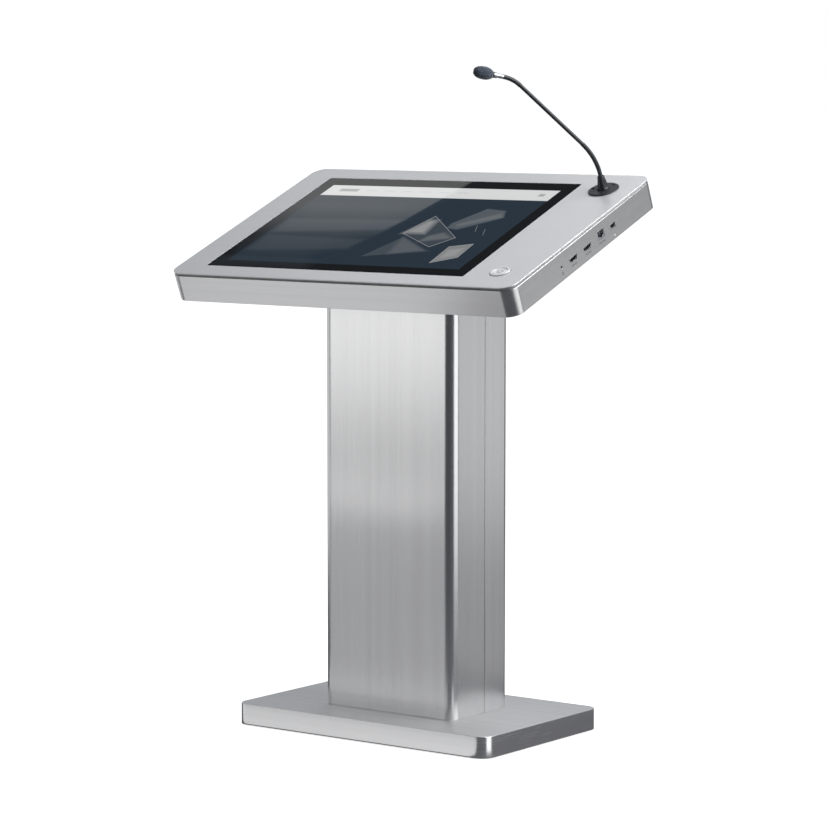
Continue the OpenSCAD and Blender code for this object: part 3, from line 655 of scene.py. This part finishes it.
def round_rect(width, depth, radius, steps=6):
    """The outline of a rectangle with rounded corners, anticlockwise."""
    points = []
    for quarter, (sx, sy) in enumerate(((1, 1), (-1, 1), (-1, -1), (1, -1))):
        for i in range(steps + 1):
            a = math.pi / 2 * (quarter + i / steps)
            points.append((sx * (width / 2 - radius) + radius * math.cos(a),
                           sy * (depth / 2 - radius) + radius * math.sin(a)))
    return points


def moved(bm, x, y, z=0.0):
    bmesh.ops.translate(bm, verts=bm.verts, vec=(x, y, z))
    return bm


def merge(parts):
    """Joins several meshes into one."""
    whole = bmesh.new()
    for part in parts:
        holder = bpy.data.meshes.new("part")
        part.to_mesh(holder)
        part.free()
        whole.from_mesh(holder)
        bpy.data.meshes.remove(holder)
    return whole


def fold(inset, height, radius, start, steps):
    """A rounded fold: (inset, height) points on a quarter turn clockwise from start degrees."""
    angles = [math.radians(start - 90 * i / steps) for i in range(steps + 1)]
    return [(inset + radius * math.cos(a), height + radius * math.sin(a)) for a in angles]


def folded_pan(profile, width, depth, radius, middle):
    """Sweeps an (inset, height) profile round a rounded rectangle, and closes both ends."""
    bm = bmesh.new()
    rings = []
    for inset, height in profile:
        outline = round_rect(width - 2 * inset, depth - 2 * inset, radius - inset, 14)
        rings.append([bm.verts.new((x, y + middle, height)) for x, y in outline])
    skin(bm, rings)
    return bm


def cut_out(piece, cuts):
    """Cuts the shapes out of the piece, and smooths what is left."""
    bmesh.ops.recalc_face_normals(cuts, faces=cuts.faces)
    cutter = link_mesh("cutter", cuts)
    cut = piece.modifiers.new("cut", "BOOLEAN")
    cut.operation = "DIFFERENCE"
    cut.solver = "EXACT"
    cut.object = cutter
    depsgraph = bpy.context.evaluated_depsgraph_get()
    shaped = bpy.data.meshes.new_from_object(piece.evaluated_get(depsgraph))
    piece.modifiers.clear()
    piece.data = shaped
    bpy.data.objects.remove(cutter)
    shaped.shade_smooth()
    shaped.set_sharp_from_angle(angle=math.radians(40))
    weigh_normals(piece)


# ---- The base ----

BASE_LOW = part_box("base_sides")[0].z
BASE_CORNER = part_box("base_cover")[1]
BASE_W, BASE_D, BASE_HIGH = 2 * BASE_CORNER.x, 2 * BASE_CORNER.y, BASE_CORNER.z
BASE_R = 0.025
# The column's middle, the cable's hole, and half the spacings of the anchors and the bolts
COLUMN_Y = -0.003
CABLE_Y = 0.040
ANCHOR_X, ANCHOR_Y = 0.075, 0.058
BOLT_X, BOLT_Y = 0.120, 0.062


def make_base():
    """The base's cover in one sheet, with rounded folds. The cable's hole, the holes that reach
    the anchors and the column's bolt holes are under the column."""
    sheet, edge = 0.002, 0.0014
    cable_r, access_r, bolt_r = 0.025, 0.013, 0.0045
    profile = [(sheet, BASE_HIGH - sheet), (sheet, BASE_LOW), (0, BASE_LOW)]
    profile += fold(edge, BASE_HIGH - edge, edge, 180, 6)
    cover = add_piece("base_folded", folded_pan(profile, BASE_W, BASE_D, BASE_R, 0), STEEL_BASE,
                      cad=("base_cover", "base_sides", "base_corners"))
    holes = [(0, CABLE_Y, cable_r)]
    for half_x, half_y, radius in ((ANCHOR_X, ANCHOR_Y, access_r), (BOLT_X, BOLT_Y, bolt_r)):
        holes += [(x, COLUMN_Y + y, radius) for x in (-half_x, half_x) for y in (-half_y, half_y)]
    cuts = [moved(slab(circle(radius), 3 * sheet), x, y, BASE_HIGH - 2 * sheet)
            for x, y, radius in holes]
    cut_out(cover, merge(cuts))


# ---- The head: tray, glass, power button and printed marks ----

# Sockets: place up the slope, and middle below the panel's face
VIDEO_V = (0.1945, 0.2415)
VIDEO_W = -0.0328
NETWORK_V, NETWORK_W = 0.289, -0.0285
USB_V, USB_W = 0.3297, -0.0303
JACK_V, JACK_W = 0.1553, -0.0316
LAMP_V, LAMP_W = 0.3304, -0.048
# The middle of the column's head plate, up the slope
PLATE_V = 0.2427
# A frame on the band's right side: X up the slope, Y up the face, Z outwards
SIDE = Matrix.Translation((SIDE_X, 0, 0)) @ Matrix(((0, 0, 1), (1, 0, 0), (0, 1, 0))).to_4x4()


def video_outline(width=0.025, height=0.0095, cut=0.0035):
    """A rectangle whose two lower corners are cut off."""
    w, h = width / 2, height / 2
    return [(-w, -0.1 * h), (cut - w, -h), (w - cut, -h), (w, -0.1 * h), (w, h), (-w, h)]


def port_cuts():
    """The holes for the five sockets and the lamp in the band's right side."""
    depth = 0.024
    ports = [(video_outline(), v, VIDEO_W) for v in VIDEO_V]
    ports += [(round_rect(0.022, 0.0165, 0.0005), NETWORK_V, NETWORK_W),
              (round_rect(0.0165, 0.0095, 0.0004), USB_V, USB_W),
              (circle(0.003), JACK_V, JACK_W), (circle(0.0025), LAMP_V, LAMP_W)]
    cuts = merge([moved(slab(outline, depth), v, w, -depth / 2) for outline, v, w in ports])
    cuts.transform(SIDE)
    return cuts


def floor_cuts():
    """The cables' pass, the bolt holes and the two rows of air slots in the tray's floor."""
    through, low = 0.005, -HEAD_T - 0.001
    bolt_x, bolt_v, bolt_r = 0.090, 0.055, 0.0033
    slot_x, first_slot, slot_pitch, slots = 0.335, 0.132, 0.028, 8
    cuts = [moved(slab(round_rect(0.120, 0.060, 0.008), through), 0, PLATE_V, low)]
    for x in (-bolt_x, bolt_x):
        for v in (-bolt_v, bolt_v):
            cuts.append(moved(slab(circle(bolt_r, 24), through), x, PLATE_V + v, low))
    for x in (-slot_x, slot_x):
        for k in range(slots):
            slot = slab(round_rect(0.050, 0.004, 0.0019, 4), through)
            cuts.append(moved(slot, x, first_slot + slot_pitch * k, low))
    return merge(cuts)


def make_tray():
    """The folded tray under the top panel, with softly rounded folds and cut-outs."""
    sheet, edge, flange, rim = 0.002, 0.0008, 0.012, -0.0065
    profile = fold(edge, edge - HEAD_T, edge, 270, 4) + fold(edge, rim - edge, edge, 180, 4)
    profile += [(flange, rim), (flange, rim - sheet), (sheet, rim - sheet),
                (sheet, sheet - HEAD_T)]
    bm = folded_pan(profile, HEAD_W, HEAD_D, HEAD_R, HEAD_D / 2)
    tray = add_piece("tray_folded", bm, STEEL_BAND, HEAD, cad=("head_tray",))
    cuts = merge([port_cuts(), floor_cuts()])
    cuts.transform(HEAD)
    cut_out(tray, cuts)


def make_glass():
    """The flush glass. Its material holds the black border and the screen's picture."""
    bm = slab(round_rect(GLASS_W, GLASS_D, 0.003), GLASS_T, 0.0007)
    at = HEAD @ Matrix.Translation(GLASS_AT - Vector((0, 0, GLASS_T)))
    add_piece("glass", bm, SCREEN, at, smooth=False, cad=("screen_glass",))


def make_button():
    """A dished ring with a polished lip, a dished cap, and a dark ring round the bezel's edge,
    which is a painted shadow standing for the shade in the gap there.
    """
    at = HEAD @ Matrix.Translation(BUTTON_AT)
    ring = [(0.0134, -0.010), (0.0134, 0.0008), (0.0142, 0.0013), (0.0168, 0.0016),
            (0.0182, 0.0013), (0.0190, 0.0004), (0.0190, 0.0), (0.0158, 0.0),
            (0.0158, -0.010), (0.0134, -0.010)]
    add_piece("bezel_ring", lathe(rounded(ring, 0.0004), 96), STEEL_BUTTON, at,
              cad=("button_bezel",))
    cap = [(0, -0.0028), (0.0129, -0.0028), (0.0129, 0.0002), (0.0124, 0.0008), (0.0112, 0.0009),
           (0.0104, 0.0003), (0.0070, 0.0002), (0, 0.0002)]
    add_piece("cap_dished", lathe(rounded(cap, 0.0003), 96), STEEL_BUTTON, at,
              body="power_button", cad=("button_cap",))
    # A thin dark ring at the bezel's edge, made as a seal: a painted shadow in the gap round the
    # bezel
    band = [(0.0186, 0.0), (0.0188, 0.0006), (0.0193, 0.0006), (0.0196, 0.0002), (0.0196, 0.0)]
    add_piece("bezel_painted_shadow", lathe(band, 96), PAINTED_SHADOW_RING_GREY, at)


def make_power_sign():
    """The plain power sign on the cap: an open ring, with a bar in its gap."""
    inner, outer, low, top = 0.0046, 0.0055, 0.0001, 0.00035
    sweep, steps = math.radians(290), 36
    first = math.pi / 2 + (2 * math.pi - sweep) / 2
    ring = bmesh.new()
    sections = []
    for i in range(steps + 1):
        a = first + sweep * i / steps
        corners = [(inner, low), (outer, low), (outer, top), (inner, top)]
        sections.append([ring.verts.new((r * math.cos(a), r * math.sin(a), z)) for r, z in corners])
    skin(ring, sections)
    bar = moved(slab(round_rect(0.0009, 0.0050, 0.0004, 3), top), 0, 0.0042)
    add_piece("power_sign", merge([ring, bar]), INK, HEAD @ Matrix.Translation(BUTTON_AT),
              smooth=False, body="power_button")


def make_marks():
    """Plain dashes and a ring, printed under the sockets on the band's right side."""
    thick, sunk, low, pitch = 0.00012, 0.00002, -0.0435, 0.0036
    marks = []
    for v, dashes in zip(VIDEO_V + (NETWORK_V,), (5, 5, 6)):
        for i in range(dashes):
            wide = 0.0022 if i % 2 else 0.0028
            place = v + (i - (dashes - 1) / 2) * pitch
            marks.append(moved(slab(round_rect(wide, 0.0016, 0.0004, 3), thick), place, low))
    ring = [(0.0022, 0), (0.0022, thick), (0.0029, thick), (0.0029, 0), (0.0022, 0)]
    marks.append(moved(lathe(ring, 32), JACK_V, low))
    at = HEAD @ SIDE @ Matrix.Translation((0, 0, -sunk))
    add_piece("printed_marks", merge(marks), INK, at, smooth=False)


# ---- The microphone ----

LOWER_L, UPPER_L = LOWER_R * LOWER_BEND, UPPER_R * UPPER_BEND


def neck_point(travel):
    """A point on the neck's middle line and the direction there, that far from the boot."""
    a = min(travel, LOWER_L) / LOWER_R
    straight = min(max(travel - LOWER_L, 0), STEM_L)
    b = min(max(travel - LOWER_L - STEM_L, 0), UPPER_L) / UPPER_R
    x = LOWER_R * (1 - math.cos(a)) + straight * math.sin(a)
    z = NECK_START + LOWER_R * math.sin(a) + straight * math.cos(a)
    x += UPPER_R * (math.cos(a) - math.cos(a + b))
    z += UPPER_R * (math.sin(a + b) - math.sin(a))
    return Vector((x, 0, z)), Vector((math.sin(a + b), 0, math.cos(a + b)))


def flex_tube(start, end, turns=28, pitch=0.0012, depth=0.0001):
    """A gooseneck's wound skin: a tube with a rounded ridge for each turn of its wire."""
    bm = bmesh.new()
    rings_per_ridge = 6
    count = round((end - start) / pitch * rings_per_ridge)
    side = Vector((0, 1, 0))
    rings = []
    for i in range(count + 1):
        centre, along = neck_point(start + (end - start) * i / count)
        lift = along.cross(side)
        wave = 0.5 - 0.5 * math.cos(2 * math.pi * i / rings_per_ridge)
        radius = FLEX_R - depth * wave ** 2
        rings.append([bm.verts.new(centre + x * lift + y * side) for x, y in circle(radius, turns)])
    skin(bm, rings)
    return bm


def make_neck():
    """Each bend is one piece, laid between the two bodies it joins; it rides on neither of them."""
    half, top = LOWER_L / 2, LOWER_L + STEM_L
    bends = [("flex_lower", 0, half, "kiosk", "neck_middle", "neck_flex_bottom"),
             ("flex_mid", half, 2 * half, "neck_middle", "neck_arm", "neck_flex_middle"),
             ("flex_upper", top, top + UPPER_L, "neck_arm", "mic_head", "neck_flex_top")]
    for name, start, end, below, above, cad in bends:
        piece = add_piece(name, flex_tube(start, end), NECK, MIC, body=None)
        tuple(MIC @ neck_point(start)[0])
        tuple(MIC @ neck_point(end)[0])
        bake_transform(piece)
        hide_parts(cad)


def make_boot():
    """The rubber boot: a stout cone with long flutes, a foot ring and a lip round the neck."""
    profile = [(0.0043, 0.0032), (0.0112, 0.0032), (0.0113, 0.0052), (0.0103, 0.0060),
               (0.0099, 0.0080), (0.0092, 0.0120), (0.0083, 0.0160), (0.0074, 0.0200),
               (0.0066, 0.0240), (0.0064, 0.0262), (0.0058, 0.0276), (0.0043, 0.0278)]
    flutes, flute_low, flute_length, flute_depth = 9, 0.0062, 0.0175, 0.0007
    bm = lathe(rounded(profile, 0.0006), 144)
    for vert in bm.verts:
        rise = (vert.co.z - flute_low) / flute_length
        if 0 < rise < 1:
            around = math.atan2(vert.co.y, vert.co.x)
            wave = 0.5 - 0.5 * math.cos(flutes * around)
            depth = flute_depth * math.sin(math.pi * rise) ** 0.4 * wave
            radius = math.hypot(vert.co.x, vert.co.y)
            vert.co.x *= 1 - depth / radius
            vert.co.y *= 1 - depth / radius
    add_piece("boot_fluted", bm, BOOT_RUBBER, MIC, cad=("mic_boot",))


def make_windscreen():
    """Foam pulled over the capsule: an egg with an uneven, porous skin."""
    tip, along = neck_point(LOWER_L + STEM_L + UPPER_L)
    start, length, radius, rows = 0.019, 0.037, 0.0118, 72
    profile = []
    for i in range(rows + 1):
        a = math.pi * i / rows
        height = start + length * (0.5 - 0.5 * math.cos(a))
        fullness = math.sin(a) ** 0.72 if 0 < i < rows else 0
        profile.append((radius * fullness, height))
    bm = lathe(profile, 96)
    bm.normal_update()
    for vert in bm.verts:
        coarse = noise.noise(vert.co * 260)
        fine = noise.noise(vert.co * 1500)
        vert.co -= vert.normal * (0.00025 + 0.00028 * coarse + 0.00022 * fine)
    turn = along.to_track_quat("Z", "Y").to_matrix().to_4x4()
    add_piece("windscreen_foam", bm, FOAM, MIC @ Matrix.Translation(tip) @ turn,
              body="mic_head", cad=("mic_windscreen",))


# ---- Stage, light and world ----

def make_floor():
    """A pale floor: bright to the camera, and darker in the steel's reflections."""
    reach = 30
    bm = bmesh.new()
    bm.faces.new([bm.verts.new((x * reach, y * reach, 0))
                  for x, y in ((-1, -1), (1, -1), (1, 1), (-1, 1))])
    look = Shader("floor")
    seen = look.node("LightPath").outputs["Is Camera Ray"]
    pale = look.spread(look.noise(look.coords(), 3.0), 0.96, 1.0)
    look.set(Base_Color=look.mix(seen, (0.19, 0.19, 0.20, 1), look.grey(pale)), Roughness=0.9,
             Specular_IOR_Level=0.0, Emission_Color=look.grey(seen), Emission_Strength=0.84)
    link_mesh("floor", bm, look.material)


def softbox(name, at, aim, width, height, radiance):
    """A soft light of that size and brightness, facing the aim."""
    data = bpy.data.lights.new(name, "AREA")
    data.shape = "RECTANGLE"
    data.size = width
    data.size_y = height
    # Cycles shows an area light as bright as its energy over 4 times its area
    data.energy = radiance * width * height * 4
    lamp = bpy.data.objects.new(name, data)
    bpy.context.scene.collection.objects.link(lamp)
    lamp.location = at
    lamp.rotation_euler = (Vector(aim) - Vector(at)).to_track_quat("-Z", "Y").to_euler()
    lamp.visible_camera = False
    return lamp


def compass(degrees, distance, height):
    """A place round the kiosk: 0 is in front, and 90 is on the user's right."""
    a = math.radians(degrees)
    return Vector((distance * math.sin(a), -distance * math.cos(a), height))


def make_lights():
    """Each light: where it is, where it faces, its width, its height and its brightness."""
    softbox("front_left", compass(-34, 2.6, 1.08), (0, 0, 0.92), 1.4, 1.5, 0.80)
    softbox("right", compass(98, 2.4, 0.55), (0, 0, 0.55), 2.1, 1.1, 0.90)
    softbox("back_right", compass(146, 3.0, 0.35), (0, 0, 0.4), 1.3, 0.8, 0.46)
    softbox("back_high", compass(147, 3.0, 0.97), (0, 0, 0.9), 1.3, 0.4, 0.24)
    softbox("top_right", (0.95, 0.16, 1.55), (0.30, 0.05, 0.95), 1.0, 1.0, 3.4)
    softbox("left", compass(-88, 2.2, 0.6), (0, 0, 0.6), 2.2, 1.2, 0.45)
    # Pale sheets near the floor, which the head's band, the column and the base reflect
    softbox("sheet_band", (-0.60, -0.615, 0.35), (-0.60, -0.615, 1.4), 0.85, 0.40, 0.27)
    softbox("sheet_near", (-0.80, -0.98, 0.02), (-0.80, -0.98, 1.0), 1.4, 0.8, 0.25)
    softbox("sheet_far", (-2.30, -2.95, 0.02), (-2.30, -2.95, 1.0), 2.8, 3.0, 0.32)
    softbox("sheet_base", (-0.255, -0.47, 0.004), (-0.255, -0.47, 1.0), 0.91, 0.26, 0.34)
    softbox("sheet_edge", (-0.1875, -0.258, 0.003), (-0.1875, -0.258, 1.0), 0.865, 0.148, 0.54)
    softbox("corner_card", (0.322, -0.165, 0.032), (0.283, -0.165, 0.032), 0.04, 0.056, 0.9)
    softbox("sheet_back", (1.15, 1.40, 0.01), (1.15, 1.40, 1.0), 1.6, 2.0, 0.16)


def make_reflected_card():
    """A pale card above the far left, which the glass mirrors as a slanting grey patch."""
    eye = HEAD.inverted() @ CAMERA.matrix_world.translation
    height, left, brightest = 2.2, -0.40, 4.9
    reach = 1 + height / eye.z
    # The patch on the glass: place up the slope, right edge and brightness. The line of sight
    # to each of its corners is carried on below the glass, and then mirrored above it.
    rows = [(0.085, -0.085, 0.0), (0.180, -0.044, 0.17), (0.215, -0.030, 0.40),
            (0.310, -0.011, 0.97), (0.470, 0.020, 1.0)]
    bm = bmesh.new()
    glow = bm.verts.layers.float.new("glow")
    pairs = []
    for v, right, bright in rows:
        pair = []
        for x in (left, right):
            far = eye + (Vector((x, v, 0)) - eye) * reach
            corner = bm.verts.new((far.x, far.y, -far.z))
            corner[glow] = bright
            pair.append(corner)
        pairs.append(pair)
    for low, high in zip(pairs, pairs[1:]):
        bm.faces.new((*low, *reversed(high)))
    bm.transform(HEAD)
    look = Shader("card")
    bright = look.node("Attribute", attribute_name="glow").outputs["Fac"]
    look.set(Base_Color=(0, 0, 0, 1), Roughness=1.0, Specular_IOR_Level=0.0,
             Emission_Color=(1, 1, 0.99, 1),
             Emission_Strength=look.maths("MULTIPLY", bright, brightest))
    card = link_mesh("card", bm, look.material)
    card.visible_camera = False
    card.visible_diffuse = False
    card.visible_shadow = False


# Each glow of the room: compass degrees, elevation, inner and outer radius, and brightness
GLOWS = ((-130, 48, 15, 60, 0.06), (-150, 22, 15, 55, 0.34), (100, 20, 15, 70, 0.25),
         (0, 90, 10, 60, 0.28))
ROOM_LEVEL = 0.06
ROOM_COLOUR = (0.95, 0.985, 1.03, 1)


def make_world():
    """White to the camera. To everything else, a dim room with broad soft glows."""
    world = bpy.data.worlds.new("studio")
    bpy.context.scene.world = world
    world.use_nodes = True
    world.node_tree.nodes.clear()
    sky = Nodes(world.node_tree)
    direction = sky.node("TexCoord").outputs["Generated"]
    total = ROOM_LEVEL
    for turn, rise, inner, outer, strength in GLOWS:
        lift = math.radians(rise)
        dot = sky.node("VectorMath", operation="DOT_PRODUCT")
        sky.put(dot.inputs[0], direction)
        dot.inputs[1].default_value = compass(turn, math.cos(lift), math.sin(lift))
        glow = sky.node("MapRange", interpolation_type="SMOOTHSTEP")
        sky.put(glow.inputs[0], dot.outputs["Value"])
        glow.inputs[1].default_value = math.cos(math.radians(outer))
        glow.inputs[2].default_value = math.cos(math.radians(inner))
        total = sky.maths("ADD", sky.maths("MULTIPLY", glow.outputs[0], strength), total)
    room = sky.node("Background")
    sky.put(room.inputs["Strength"], total)
    room.inputs["Color"].default_value = ROOM_COLOUR
    white = sky.node("Background")
    white.inputs["Color"].default_value = (1, 1, 1, 1)
    white.inputs["Strength"].default_value = 1.0
    choose = sky.node("MixShader")
    sky.put(choose.inputs[0], sky.node("LightPath").outputs["Is Camera Ray"])
    sky.put(choose.inputs[1], room.outputs[0])
    sky.put(choose.inputs[2], white.outputs[0])
    sky.put(sky.node("OutputWorld").inputs[0], choose.outputs[0])
    bpy.context.scene.view_settings.view_transform = "Standard"


dress_all()
make_base()
make_tray()
make_glass()
make_button()
make_power_sign()
make_marks()
make_neck()
make_boot()
make_windscreen()
make_floor()
make_lights()
make_reflected_card()
make_world()
